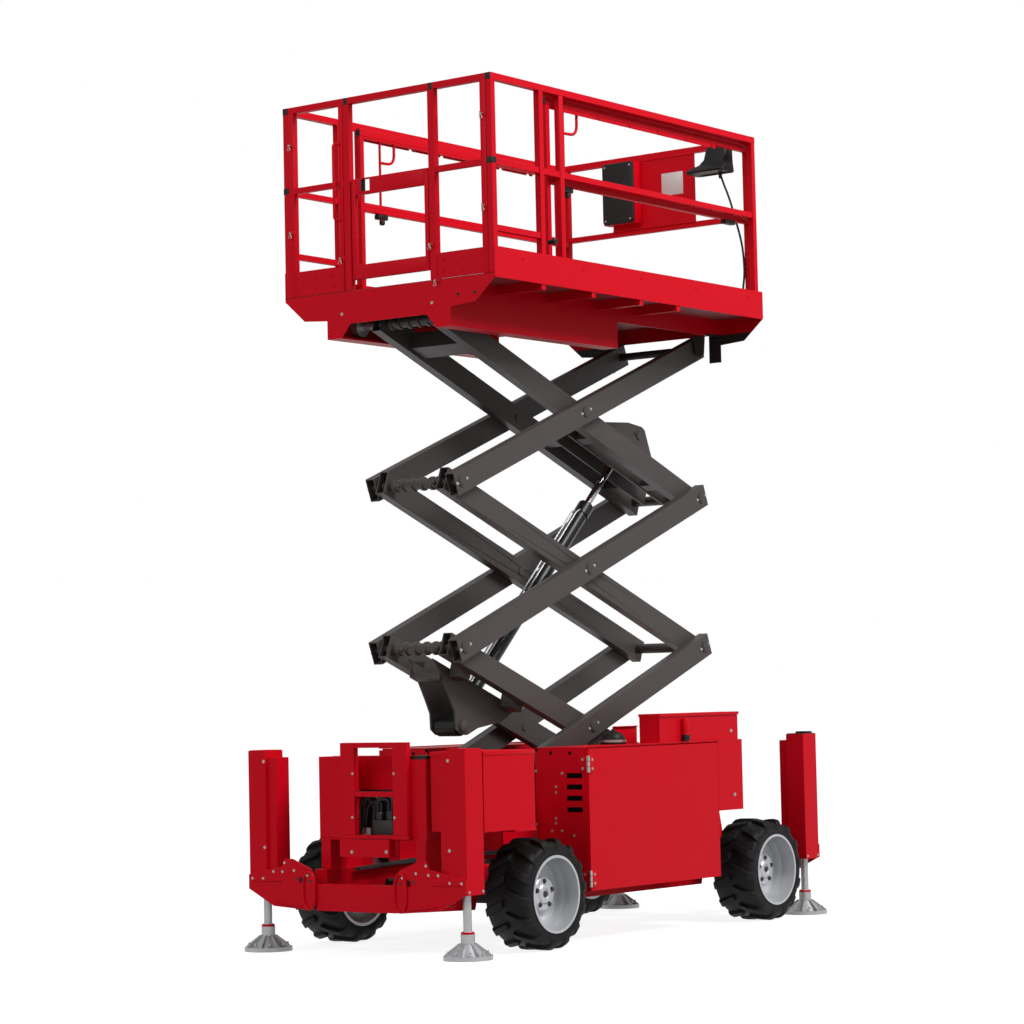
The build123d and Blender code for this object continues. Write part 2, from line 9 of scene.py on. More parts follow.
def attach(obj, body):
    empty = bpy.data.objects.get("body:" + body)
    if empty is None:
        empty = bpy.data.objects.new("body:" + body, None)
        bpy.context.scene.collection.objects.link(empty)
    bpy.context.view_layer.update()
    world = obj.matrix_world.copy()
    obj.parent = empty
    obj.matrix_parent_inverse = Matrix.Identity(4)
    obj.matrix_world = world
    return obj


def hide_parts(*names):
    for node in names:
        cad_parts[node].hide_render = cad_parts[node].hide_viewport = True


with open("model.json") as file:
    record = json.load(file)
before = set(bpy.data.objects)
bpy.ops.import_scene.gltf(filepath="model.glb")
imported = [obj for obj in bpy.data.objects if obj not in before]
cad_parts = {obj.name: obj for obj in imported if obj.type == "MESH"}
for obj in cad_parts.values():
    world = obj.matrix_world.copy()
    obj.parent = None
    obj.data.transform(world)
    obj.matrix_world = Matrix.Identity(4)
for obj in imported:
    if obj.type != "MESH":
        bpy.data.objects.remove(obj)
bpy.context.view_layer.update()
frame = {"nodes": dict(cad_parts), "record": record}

# Driving dimensions, metres, as in the part's source
ARM_LENGTH = 2.700
ARM_ANGLE = math.radians(21.1)
PIVOT_X = 1.293
PIVOT_Z = 0.778
ARM_OUTER_FACE = 0.336  # of the outer arms, from the middle
RISE = ARM_LENGTH * math.sin(ARM_ANGLE)
REAR_X = PIVOT_X - ARM_LENGTH * math.cos(ARM_ANGLE)
TYRE_R = 0.322
TREAD_Y = 0.725  # middle of a tyre
LUGS_PER_SIDE = 14
WHEELS = (("rear", -1.115), ("front", 1.240))
SIDES = (("right", -1), ("left", 1))
UP, DOWN = (0, 0, 1), (0, 0, -1)
BACKWARD, LEFTWARD = (-1, 0, 0), (0, 1, 0)
# Cylinder's eye on the stage 3 inner arms and foot on the stage 1 inner arms: along and above the arm
CYLINDER_EYE = (0.450, 0.263)
CYLINDER_FOOT = (2.289, -0.340)
CYLINDER_MOUTH = 1.984  # length of the barrel from its foot pin
# Levelling jacks: their axes, the top of a housing, the top of a foot and the red ring above it
JACK_X, JACK_Y, JACK_TOP_Z = 1.780, 0.745, 1.170
JACK_FOOT_TOP_Z, JACK_RING_H = 0.142, 0.013
# Side trays: door hinges, the trays' rear face, and the filter bowl and latch post on the right one
HINGE_X, HINGE_Y = -0.683, 0.806
HINGES_Z = (0.330, 1.000)
TRAY_REAR = -0.673
FILTER = (0.000, -0.505)
LATCH = (0.362, -0.797)
# Dark part of the platform frame: how far back from its front end and how high above its lowest edge
FEET_REACH, FEET_HEIGHT = 0.180, 0.178
# Rear posts of the platform, its top rails' sides and the height of their black end caps, which takes in a
# painted gap shadow
RAIL_X = -1.471
RAIL_Y = (0.757, 0.795)
RAIL_CAP_AND_SHADOW_Z = (5.002, 5.040)
GATE_X = (-1.468, -1.440)
CORNER_STEPS = 5


# ---------------------------------------------------------------- materials
def material(
    name, color, metallic=0.0, rough=0.5, coat=0.0, vary=0.0, grain=40.0, bump=0.0, dirt=0.0, shine=0.5,
):
    """A procedural material: noise in its colour and roughness, with fine relief and dust."""
    made = bpy.data.materials.new(name)
    made.use_nodes = True
    nodes = made.node_tree.nodes
    links = made.node_tree.links
    shader = nodes["Principled BSDF"]
    shader.inputs["Metallic"].default_value = metallic
    shader.inputs["Coat Weight"].default_value = coat
    shader.inputs["Coat Roughness"].default_value = 0.2
    shader.inputs["Specular IOR Level"].default_value = shine
    coords = nodes.new("ShaderNodeTexCoord")
    noise = nodes.new("ShaderNodeTexNoise")
    noise.inputs["Scale"].default_value = grain
    noise.inputs["Detail"].default_value = 5.0
    links.new(coords.outputs["Object"], noise.inputs["Vector"])
    shade = nodes.new("ShaderNodeMix")
    shade.data_type = "RGBA"
    shade.inputs[6].default_value = (*[c * (1 - vary) for c in color], 1.0)
    shade.inputs[7].default_value = (*[min(1.0, c * (1 + vary)) for c in color], 1.0)
    links.new(noise.outputs["Fac"], shade.inputs[0])
    last = shade
    if dirt:
        cloud = nodes.new("ShaderNodeTexNoise")
        cloud.inputs["Scale"].default_value = grain * 0.3
        cloud.inputs["Detail"].default_value = 8.0
        links.new(coords.outputs["Object"], cloud.inputs["Vector"])
        cut = nodes.new("ShaderNodeMapRange")
        cut.inputs["From Min"].default_value = 0.55
        cut.inputs["From Max"].default_value = 0.80
        cut.inputs["To Max"].default_value = dirt
        links.new(cloud.outputs["Fac"], cut.inputs["Value"])
        dusty = nodes.new("ShaderNodeMix")
        dusty.data_type = "RGBA"
        dusty.inputs[7].default_value = (0.16, 0.14, 0.12, 1.0)
        links.new(cut.outputs["Result"], dusty.inputs[0])
        links.new(shade.outputs[2], dusty.inputs[6])
        last = dusty
    links.new(last.outputs[2], shader.inputs["Base Color"])
    spread = nodes.new("ShaderNodeMapRange")
    spread.inputs["To Min"].default_value = max(0.03, rough - 0.08)
    spread.inputs["To Max"].default_value = min(1.0, rough + 0.08)
    links.new(noise.outputs["Fac"], spread.inputs["Value"])
    links.new(spread.outputs["Result"], shader.inputs["Roughness"])
    if bump:
        fine = nodes.new("ShaderNodeTexNoise")
        fine.inputs["Scale"].default_value = grain * 10
        links.new(coords.outputs["Object"], fine.inputs["Vector"])
        relief = nodes.new("ShaderNodeBump")
        relief.inputs["Strength"].default_value = bump
        relief.inputs["Distance"].default_value = 0.001
        links.new(fine.outputs["Fac"], relief.inputs["Height"])
        links.new(relief.outputs["Normal"], shader.inputs["Normal"])
    return made


RED = material(
    "red_paint", (0.57, 0.0015, 0.011), rough=0.45, coat=0.02, vary=0.04, grain=3.0, bump=0.05, shine=0.08,
)
GREY = material(
    "grey_paint", (0.058, 0.050, 0.048), rough=0.45, vary=0.10, grain=6.0, bump=0.10, dirt=0.05, shine=0.3,
)
BLACK = material(
    "black_paint", (0.008, 0.008, 0.008), rough=0.35, coat=0.05, vary=0.15, grain=8.0, bump=0.05, shine=0.3,
)
RIM = material(
    "rim_paint", (0.50, 0.51, 0.53), metallic=0.45, rough=0.38, vary=0.08, grain=14.0, bump=0.08, dirt=0.10,
)
STEEL = material(
    "steel", (0.44, 0.45, 0.46), metallic=0.6, rough=0.42, vary=0.18, grain=22.0, bump=0.15, dirt=0.15,
)
CHROME = material("chrome", (0.62, 0.63, 0.65), metallic=1.0, rough=0.14, vary=0.04, grain=6.0)
TYRE = material(
    "tyre", (0.005, 0.0047, 0.0047), rough=0.60, vary=0.25, grain=16.0, bump=0.35, dirt=0.03, shine=0.2,
)
PLASTIC = material("plastic", (0.009, 0.008, 0.008), rough=0.50, vary=0.10, grain=30.0, bump=0.25, shine=0.25)
# Near black for painted shade inside slots and holes
HOLE_SHADE = material("painted_hole_shade", (0.0012, 0.001, 0.001), rough=0.9, vary=0.10, grain=30.0, bump=0.10, shine=0.03)
CAST = material("cast_iron", (0.05, 0.05, 0.052), metallic=0.4, rough=0.7, vary=0.25, grain=20.0, bump=0.5)
LABEL = material("blank_plate", (0.62, 0.62, 0.60), rough=0.5, vary=0.05, grain=30.0, bump=0.05)
ZINC = material("zinc_plated", (0.42, 0.41, 0.38), metallic=0.8, rough=0.35, vary=0.12, grain=60.0, bump=0.10)
HOSE = material("hose_rubber", (0.010, 0.010, 0.011), rough=0.6, vary=0.10, grain=90.0, bump=0.30)


def deck_material():
    """Red deck plate with rows of small raised pips, dusty where people walk."""
    made = material("deck_metal", (0.20, 0.008, 0.012), rough=0.55, vary=0.2, grain=12.0, dirt=0.35)
    nodes = made.node_tree.nodes
    links = made.node_tree.links
    coords = nodes["Texture Coordinate"]
    cells = nodes.new("ShaderNodeTexVoronoi")
    cells.inputs["Scale"].default_value = 28.0
    cells.inputs["Randomness"].default_value = 0.0
    links.new(coords.outputs["Object"], cells.inputs["Vector"])
    pip = nodes.new("ShaderNodeMapRange")
    pip.inputs["From Min"].default_value = 0.30
    pip.inputs["From Max"].default_value = 0.18
    links.new(cells.outputs["Distance"], pip.inputs["Value"])
    relief = nodes.new("ShaderNodeBump")
    relief.inputs["Strength"].default_value = 0.8
    relief.inputs["Distance"].default_value = 0.002
    links.new(pip.outputs["Result"], relief.inputs["Height"])
    links.new(relief.outputs["Normal"], nodes["Principled BSDF"].inputs["Normal"])
    return made


DECK = deck_material()
BY_SLOT = {
    "red_paint": RED, "grey_paint": GREY, "black_paint": BLACK, "rim_paint": RIM, "steel": STEEL,
    "chrome": CHROME, "tyre": TYRE, "plastic": PLASTIC, "deck_metal": DECK, "cast": CAST,
}
SLOT_OF = {part["node"]: part["material_slot"] for part in frame["record"]["subparts"]}
# Nodes of folded sheet and tube get a small round on their edges, in metres
EDGE_ROUND = {
    "rails_left": 0.004, "rails_right": 0.004, "rails_rear": 0.003, "extension_rails": 0.004, "gate": 0.003,
    "toolbox": 0.004, "door_left": 0.003, "door_right": 0.003, "jack_front_left": 0.003,
    "jack_front_right": 0.003,
    "jack_rear_left": 0.003, "jack_rear_right": 0.003, "ladder": 0.003, "rear_box": 0.002, "tray_left": 0.002,
    "tray_right": 0.002, "arms_inner_1": 0.003, "arms_inner_2": 0.003, "arms_inner_3": 0.003,
    "arms_outer_1": 0.003, "arms_outer_2": 0.003, "arms_outer_3": 0.003, "chassis_rails": 0.003,
    "end_frame_rear": 0.003, "end_frame_front": 0.003,
}
for node, piece in frame["nodes"].items():
    piece.data.materials.clear()
    piece.data.materials.append(BY_SLOT[SLOT_OF[node]])
    if node in EDGE_ROUND:
        weld = piece.modifiers.new("weld", "WELD")
        weld.merge_threshold = 0.00002
        edge = piece.modifiers.new("edge", "BEVEL")
        edge.width = EDGE_ROUND[node]
        edge.segments = 2
        edge.limit_method = "ANGLE"
        edge.angle_limit = math.radians(50)
        edge.use_clamp_overlap = True


def frame_material(piece):
    """The platform frame's red, but the arms' grey on the lugs and feet that hang below its front end."""
    made = RED.copy()
    made.name = "frame_paint"
    nodes = made.node_tree.nodes
    links = made.node_tree.links
    place = nodes.new("ShaderNodeSeparateXYZ")
    links.new(nodes["Texture Coordinate"].outputs["Object"], place.inputs[0])
    ahead = nodes.new("ShaderNodeMath")
    ahead.operation = "GREATER_THAN"
    ahead.inputs[1].default_value = max(corner[0] for corner in piece.bound_box) - FEET_REACH
    links.new(place.outputs["X"], ahead.inputs[0])
    below = nodes.new("ShaderNodeMath")
    below.operation = "LESS_THAN"
    below.inputs[1].default_value = min(corner[2] for corner in piece.bound_box) + FEET_HEIGHT
    links.new(place.outputs["Z"], below.inputs[0])
    both = nodes.new("ShaderNodeMath")
    both.operation = "MULTIPLY"
    links.new(ahead.outputs[0], both.inputs[0])
    links.new(below.outputs[0], both.inputs[1])
    paint = nodes["Principled BSDF"].inputs["Base Color"]
    mixed = nodes.new("ShaderNodeMix")
    mixed.data_type = "RGBA"
    mixed.inputs[7].default_value = (0.030, 0.026, 0.025, 1.0)
    links.new(both.outputs[0], mixed.inputs[0])
    links.new(paint.links[0].from_socket, mixed.inputs[6])
    links.new(mixed.outputs[2], paint)
    return made


frame_node = frame["nodes"]["platform_frame"]
frame_node.data.materials[0] = frame_material(frame_node)

# ---------------------------------------------------------------- camera, floor and light
CAMERA_AT = Vector((-14.847, -11.05, 1.482))
YAW, PITCH, ROLL = (math.radians(a) for a in (37.236, 3.473, -1.25))
forward = Vector((math.cos(YAW) * math.cos(PITCH), math.sin(YAW) * math.cos(PITCH), math.sin(PITCH)))
level = Vector((math.sin(YAW), -math.cos(YAW), 0.0))
upward = level.cross(forward)
right = math.cos(ROLL) * level + math.sin(ROLL) * upward
up = -math.sin(ROLL) * level + math.cos(ROLL) * upward
camera = bpy.data.objects.new("camera", bpy.data.cameras.new("camera"))
bpy.context.scene.collection.objects.link(camera)
camera.data.lens = 104.34
camera.data.sensor_width = 36.0
turn = Matrix((right, up, -forward)).transposed().to_4x4()
camera.matrix_world = Matrix.Translation(CAMERA_AT) @ turn
bpy.context.scene.camera = camera


def floor_material():
    """White floor that keeps the shadow, lifted towards white for the camera and shiny metal."""
    made = bpy.data.materials.new("floor_white")
    made.use_nodes = True
    nodes = made.node_tree.nodes
    links = made.node_tree.links
    shader = nodes["Principled BSDF"]
    shader.inputs["Base Color"].default_value = (0.28, 0.28, 0.28, 1.0)
    shader.inputs["Roughness"].default_value = 0.9
    shader.inputs["Specular IOR Level"].default_value = 0.0
    shader.inputs["Emission Color"].default_value = (1.0, 1.0, 1.0, 1.0)
    seen = nodes.new("ShaderNodeLightPath")
    either = nodes.new("ShaderNodeMath")
    either.operation = "MAXIMUM"
    links.new(seen.outputs["Is Camera Ray"], either.inputs[0])
    links.new(seen.outputs["Is Glossy Ray"], either.inputs[1])
    lift = nodes.new("ShaderNodeMath")
    lift.operation = "MULTIPLY"
    lift.inputs[1].default_value = 0.87
    links.new(either.outputs[0], lift.inputs[0])
    links.new(lift.outputs[0], shader.inputs["Emission Strength"])
    return made


bpy.ops.mesh.primitive_plane_add(size=160.0, location=(0.0, 0.0, 0.0))
floor = bpy.context.object
floor.name = "floor"
floor.data.materials.append(floor_material())


def area_light(name, place, target, size, power):
    """A square lamp of a size in metres and a power in watts, aimed at a target."""
    data = bpy.data.lights.new(name, "AREA")
    data.size = size
    data.energy = power
    light = bpy.data.objects.new(name, data)
    bpy.context.scene.collection.objects.link(light)
    light.location = place
    light.rotation_euler = (Vector(target) - Vector(place)).to_track_quat("-Z", "Y").to_euler()


area_light("key", (1.0, -11.5, 13.5), (0.0, 0.0, 2.2), 6.0, 2350.0)
area_light("fill", (-13.0, 1.0, 10.0), (0.0, 0.0, 2.5), 6.0, 560.0)
world = bpy.data.worlds.new("studio")
bpy.context.scene.world = world
world.use_nodes = True
sky = world.node_tree.nodes["Background"]
sky.inputs["Color"].default_value = (1.0, 1.0, 1.0, 1.0)
path = world.node_tree.nodes.new("ShaderNodeLightPath")
strength = world.node_tree.nodes.new("ShaderNodeMapRange")
strength.inputs["To Min"].default_value = 0.52
strength.inputs["To Max"].default_value = 1.0
world.node_tree.links.new(path.outputs["Is Camera Ray"], strength.inputs["Value"])
world.node_tree.links.new(strength.outputs["Result"], sky.inputs["Strength"])
bpy.context.scene.view_settings.view_transform = "Standard"


# ---------------------------------------------------------------- building
def fresh(name, mesh, body, look):
    """A new piece from a mesh: smooth but for its sharp edges, riding on a body, with its material."""
    piece = bpy.data.objects.new(name, mesh)
    bpy.context.scene.collection.objects.link(piece)
    mesh.materials.append(look)
    for face in mesh.polygons:
        face.use_smooth = True
    mesh.set_sharp_from_angle(angle=math.radians(32))
    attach(piece, body)
    return piece


class Kit:
    """One piece gathered from plates, rods, bolts and bent rods."""

    def __init__(self):
        self.mesh = bmesh.new()

    def plate(self, low, high, soft=0.002):
        """A block from corner to corner with softened edges."""
        low, high = Vector(low), Vector(high)
        size = [abs(b - a) for a, b in zip(low, high)]
        place = Matrix.Translation((low + high) / 2) @ Matrix.Diagonal((*size, 1.0))
        made = bmesh.ops.create_cube(self.mesh, size=1.0, matrix=place)
        soft = min(soft, 0.3 * min(size))
        if soft > 0.0002:
            edges = list(dict.fromkeys(edge for corner in made["verts"] for edge in corner.link_edges))
            bmesh.ops.bevel(self.mesh, geom=edges, offset=soft, segments=2, profile=0.5, affect="EDGES")

    def rod(self, start, end, radius, sides=20):
        """A round bar between two points."""
        start, end = Vector(start), Vector(end)
        way = (end - start).to_track_quat("Z", "Y").to_matrix().to_4x4()
        bmesh.ops.create_cone(
            self.mesh, cap_ends=True, segments=sides, radius1=radius, radius2=radius,
            depth=(end - start).length, matrix=Matrix.Translation((start + end) / 2) @ way,
        )

    def turned(self, at, way, outline, sides=32):
        """A turned part: rings of (distance along, radius) about an axis from a point."""
        at, way = Vector(at), Vector(way).normalized()
        basis = way.to_track_quat("Z", "Y").to_matrix().to_4x4()
        rings = []
        for along, radius in outline:
            ring = []
            for n in range(sides):
                a = 2 * math.pi * n / sides
                spot = Vector((radius * math.cos(a), radius * math.sin(a), along))
                ring.append(self.mesh.verts.new(Matrix.Translation(at) @ basis @ spot))
            rings.append(ring)
        self.skin(rings)

    def skin(self, rings):
        """Faces between neighbouring closed rings, with a cap at each end."""
        count = len(rings[0])
        for one, two in zip(rings, rings[1:]):
            for n in range(count):
                m = (n + 1) % count
                self.mesh.faces.new((one[n], one[m], two[m], two[n]))
        self.mesh.faces.new(list(reversed(rings[0])))
        self.mesh.faces.new(rings[-1])

    def bolt(self, at, way, size=0.009):
        """A hexagon head on a washer; size is the radius across its corners."""
        at, way = Vector(at), Vector(way).normalized()
        self.turned(
            at, way, [(0, size * 1.3), (size * 0.25, size * 1.3), (size * 0.3, size * 1.15)], sides=16,
        )
        top = [(size * 0.25, size), (size * 0.85, size), (size * 1.0, size * 0.82)]
        self.turned(at, way, top, sides=6)

    def bolts(self, spots, way, size=0.009):
        """Bolts of one size at several spots, facing one way."""
        for spot in spots:
            self.bolt(spot, way, size)

    def bent(self, points, radius, round_r, sides=10):
        """A bent round rod: straight runs joined by arcs of about round_r."""
        points = [Vector(p) for p in points]
        line = [points[0]]
        for before, corner, after in zip(points, points[1:], points[2:]):
            reach = min(round_r, 0.49 * (corner - before).length, 0.49 * (after - corner).length)
            first = corner + (before - corner).normalized() * reach
            last = corner + (after - corner).normalized() * reach
            for n in range(7):
                t = n / 6
                line.append(first * (1 - t) ** 2 + corner * 2 * t * (1 - t) + last * t ** 2)
        line.append(points[-1])
        rings = []
        side = None
        for n, spot in enumerate(line):
            way = (line[min(n + 1, len(line) - 1)] - line[max(n - 1, 0)]).normalized()
            if side is None:
                side = way.orthogonal().normalized()
            side = (side - way * side.dot(way)).normalized()
            other = way.cross(side)
            turns = [2 * math.pi * k / sides for k in range(sides)]
            ring = [spot + (side * math.cos(a) + other * math.sin(a)) * radius for a in turns]
            rings.append([self.mesh.verts.new(v) for v in ring])
        self.skin(rings)

    def outline(self, corners, low, high):
        """A flat plate across X from an outline in Y and Z."""
        self.skin([[self.mesh.verts.new((x, y, z)) for y, z in corners] for x in (low, high)])

    def done(self, name, body, look, slot):
        bmesh.ops.recalc_face_normals(self.mesh, faces=self.mesh.faces[:])
        mesh = bpy.data.meshes.new(name)
        self.mesh.to_mesh(mesh)
        self.mesh.free()
        return fresh(name, mesh, body, look)


def arm_point(kind, stage, along, above):
    """X and Z of a point along an arm from its lower pivot and above its centre line."""
    base_z = PIVOT_Z + (stage - 1) * RISE
    if kind == "inner":
        x = PIVOT_X - along * math.cos(ARM_ANGLE) + above * math.sin(ARM_ANGLE)
    else:
        x = REAR_X + along * math.cos(ARM_ANGLE) - above * math.sin(ARM_ANGLE)
    return x, base_z + along * math.sin(ARM_ANGLE) + above * math.cos(ARM_ANGLE)


# ---------------------------------------------------------------- cable of the control console
CABLE = [
    (1.300, -0.545, 4.832), (1.310, -0.560, 4.770), (1.318, -0.590, 4.690), (1.322, -0.618, 4.600),
    (1.322, -0.640, 4.520), (1.320, -0.668, 4.430), (1.318, -0.690, 4.340), (1.316, -0.700, 4.250),
    (1.312, -0.705, 4.160), (1.306, -0.698, 4.080), (1.300, -0.690, 4.000), (1.298, -0.685, 3.902),
]


def cable(name, points, diameter, body):
    """A round cable along points, as a smooth curve that starts and ends on the first and last."""
    curve = bpy.data.curves.new(name, "CURVE")
    curve.dimensions = "3D"
    curve.bevel_depth = diameter / 2
    curve.bevel_resolution = 4
    curve.resolution_u = 8
    spline = curve.splines.new("NURBS")
    spline.points.add(len(points) - 1)
    for point, spot in zip(spline.points, points):
        point.co = (*spot, 1.0)
    spline.order_u = 3
    spline.use_endpoint_u = True
    piece = bpy.data.objects.new(name, curve)
    bpy.context.scene.collection.objects.link(piece)
    curve.materials.append(HOSE)
    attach(piece, body)
    return piece


console_cable = cable("console_cable", CABLE, 0.014, "extension")


# ---------------------------------------------------------------- wheels
def wheel(end, x, side_name, side):
    """A lugged tyre round a smooth carcass, and the hub plate with its bolts."""
    name = end + "_" + side_name
    body = "wheel_" + name
    hub = Vector((x, side * TREAD_Y, TYRE_R))
    # Half section of the carcass from the rim outwards: distance from the middle, radius
    half = [
        (0.1462, 0.2165), (0.1462, 0.2245), (0.1476, 0.2300), (0.1486, 0.2380), (0.1488, 0.2400),
        (0.1496, 0.2420),
        (0.1505, 0.2520), (0.1502, 0.2640), (0.1480, 0.2760), (0.1410, 0.2880), (0.1280, 0.2965),
        (0.0600, 0.3000),
    ]
    section = [(-across, radius) for across, radius in half] + half[::-1]
    kit = Kit()
    sides = 96
    rings = []
    for across, radius in section:
        ring = []
        for n in range(sides):
            a = 2 * math.pi * n / sides
            ring.append(
                kit.mesh.verts.new(hub + Vector((radius * math.cos(a), across, radius * math.sin(a)))),
            )
        rings.append(ring)
    rings.append(rings[0])
    for one, two in zip(rings, rings[1:]):
        for n in range(sides):
            m = (n + 1) % sides
            kit.mesh.faces.new((one[n], one[m], two[m], two[n]))
    # Stations of a lug: distance from the middle, top radius, root radius, half width at the top
    stations = (
        (0.006, 0.3175, 0.292, 0.017), (0.012, 0.3210, 0.292, 0.019), (0.060, 0.3214, 0.292, 0.020),
        (0.112, 0.3205, 0.290, 0.022), (0.128, 0.3160, 0.286, 0.023), (0.144, 0.3020, 0.276, 0.024),
        (0.152, 0.2840, 0.262, 0.024), (0.1530, 0.2660, 0.256, 0.023), (0.1500, 0.2560, 0.252, 0.021),
    )
    for n in range(2 * LUGS_PER_SIDE):
        hand = 1 if n % 2 == 0 else -1
        base = math.pi / 2 + math.pi * n / LUGS_PER_SIDE
        rings = []
        for across, top, root, half in stations:
            lean = 0.445 * (min(across, 0.150) - 0.077) / 0.30
            ring = []
            for wide, radius in ((1.35 * half, root), (half, top), (-half, top), (-1.35 * half, root)):
                a = base + lean + wide / 0.31
                spot = Vector((radius * math.cos(a), hand * across, radius * math.sin(a)))
                ring.append(kit.mesh.verts.new(hub + spot))
            rings.append(ring)
        kit.skin(rings)
    tyre = kit.done("tyre_tread_" + name, body, TYRE, "tyre")
    edge = tyre.modifiers.new("edge", "BEVEL")
    edge.width = 0.0025
    edge.segments = 2
    edge.limit_method = "ANGLE"
    edge.angle_limit = math.radians(35)
    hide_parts("tyre_" + name)

    out = Vector((0, side, 0))
    kit = Kit()
    kit.turned(hub + out * 0.010, out, [
        (0.0, 0.104), (0.036, 0.100), (0.046, 0.097), (0.052, 0.090), (0.053, 0.060), (0.057, 0.056),
        (0.062, 0.050), (0.063, 0.030), (0.058, 0.026), (0.058, 0.001),
    ], sides=64)
    kit.done("hub_plate_" + name, body, RIM, "rim_paint")
    kit = Kit()
    for n in range(5):
        a = math.pi / 2 + 2 * math.pi * n / 5
        kit.bolt(hub + out * 0.062 + Vector((0.074 * math.cos(a), 0, 0.074 * math.sin(a))), out, 0.0115)
    kit.turned(hub + out * 0.068, out, [(0.0, 0.018), (0.006, 0.018), (0.008, 0.012)], 24)
    kit.done("hub_bolts_" + name, body, CAST, "black_paint")


for end, x in WHEELS:
    for side_name, side in SIDES:
        wheel(end, x, side_name, side)


# ---------------------------------------------------------------- scissor arms
def keepers(stage, alongs):
    """Pin keepers on the outer faces of a pair of outer arms: a plate, two bolts and the pin's end."""
    plates, bolts = Kit(), Kit()
    run = Vector((math.cos(ARM_ANGLE), 0, math.sin(ARM_ANGLE)))
    for along in alongs:
        x, z = arm_point("outer", stage, along, 0)
        for side in (-1, 1):
            out = Vector((0, side, 0))
            pin = Vector((x, side * (ARM_OUTER_FACE + 0.004), z))
            plates.turned(
                pin, out, [(0, 0.0355), (0.0035, 0.0345), (0.004, 0.026), (0.007, 0.024), (0.007, 0.001)],
                32,
            )
            if stage != 1 or along > 0.1:
                for reach in (-0.048, 0.048):
                    bolts.bolt(pin + run * reach - out * 0.004, out, 0.008)
    plates.done("pin_keepers_%d" % stage, "outer_arms_%d" % stage, GREY, "grey_paint")
    bolts.done("pin_bolts_%d" % stage, "outer_arms_%d" % stage, STEEL, "steel")


keepers(1, (ARM_LENGTH / 2, ARM_LENGTH))
keepers(2, (0.0, ARM_LENGTH / 2, ARM_LENGTH))
keepers(3, (0.0, ARM_LENGTH / 2))


def cross_tube_clamps(stage):
    """Collars and pipe fittings on a stage's rear cross tube."""
    x, z = arm_point("inner", stage, ARM_LENGTH, 0)
    collars = Kit()
    for y in (-0.180, -0.128, -0.060, 0.015, 0.090, 0.150):
        collars.turned(
            (x, y, z), LEFTWARD, [(0, 0.0335), (0.002, 0.041), (0.020, 0.041), (0.022, 0.0335)], 24,
        )
    for y in (-0.155, 0.120):
        collars.turned(
            (x - 0.036, y, z - 0.006), (-1, 0, 0.2),
            [(0, 0.018), (0.020, 0.018), (0.024, 0.012), (0.034, 0.012)], 12,
        )
    collars.done("tube_collars_%d" % stage, "inner_arms_%d" % stage, GREY, "grey_paint")


for stage in (1, 2, 3):
    cross_tube_clamps(stage)


# Lift cylinder: gland nut and pipes along the barrel, caps on the eye and foot pins, foot bracket bolts
eye = Vector((*arm_point("inner", 3, *CYLINDER_EYE), 0.0)).xzy
foot = Vector((*arm_point("inner", 1, *CYLINDER_FOOT), 0.0)).xzy
ram = (eye - foot).normalized()
over = ram.cross(Vector((0, 1, 0))).normalized()
kit = Kit()
mouth = foot + ram * CYLINDER_MOUTH
kit.turned(mouth - ram * 0.012, ram, [(0, 0.050), (0.012, 0.0500), (0.020, 0.044), (0.020, 0.0255)], 48)
kit.turned(foot + ram * 0.118, ram, [(0, 0.0465), (0.002, 0.0495), (0.010, 0.0495), (0.012, 0.0465)], 48)
kit.done("cylinder_gland", "lift_barrel", BLACK, "black_paint")
kit = Kit()
for y in (-0.018, 0.018):
    rise = over * 0.060 + Vector((0, y, 0))
    kit.bent([
        foot + ram * 0.16 + over * 0.044 + Vector((0, y, 0)), foot + ram * 0.20 + rise,
        foot + ram * 1.86 + rise, foot + ram * 1.90 + over * 0.046 + Vector((0, y, 0)),
    ], 0.006, 0.03)
for along in (0.45, 0.95, 1.45):
    spot = foot + ram * along
    kit.turned(spot, ram, [(0, 0.0465), (0.001, 0.0485), (0.018, 0.0485), (0.019, 0.0465)], 40)
kit.done("cylinder_pipes", "lift_barrel", STEEL, "steel")
kit = Kit()
for side in (-1, 1):
    out = Vector((0, side, 0))
    kit.turned(eye + out * 0.080, out, [(0, 0.030), (0.006, 0.030), (0.008, 0.026), (0.008, 0.001)], 32)
    kit.bolt(eye + out * 0.080 + Vector((-0.045, 0, 0.01)), out, 0.008)
kit.done("eye_pin_caps", "inner_arms_3", GREY, "grey_paint")
kit = Kit()
for side in (-1, 1):
    out = Vector((0, side, 0))
    kit.turned(foot + out * 0.110, out, [(0, 0.036), (0.006, 0.036), (0.009, 0.031), (0.009, 0.001)], 32)
    for along, above in ((2.560, -0.128), (2.480, -0.085), (1.950, -0.085)):
        px, pz = arm_point("inner", 1, along, above)
        kit.bolt((px, side * 0.100, pz), out, 0.011)
kit.done("foot_bracket_bolts", "inner_arms_1", GREY, "grey_paint")


# ---------------------------------------------------------------- levelling jacks
# Bolts of an end frame's bracket plate, as Y on the left side and Z
END_PLATE_BOLTS = (
    (0.615, 0.470), (0.696, 0.428), (0.780, 0.428), (0.528, 0.522), (0.545, 0.470), (0.355, 0.452),
    (0.455, 0.478),
)
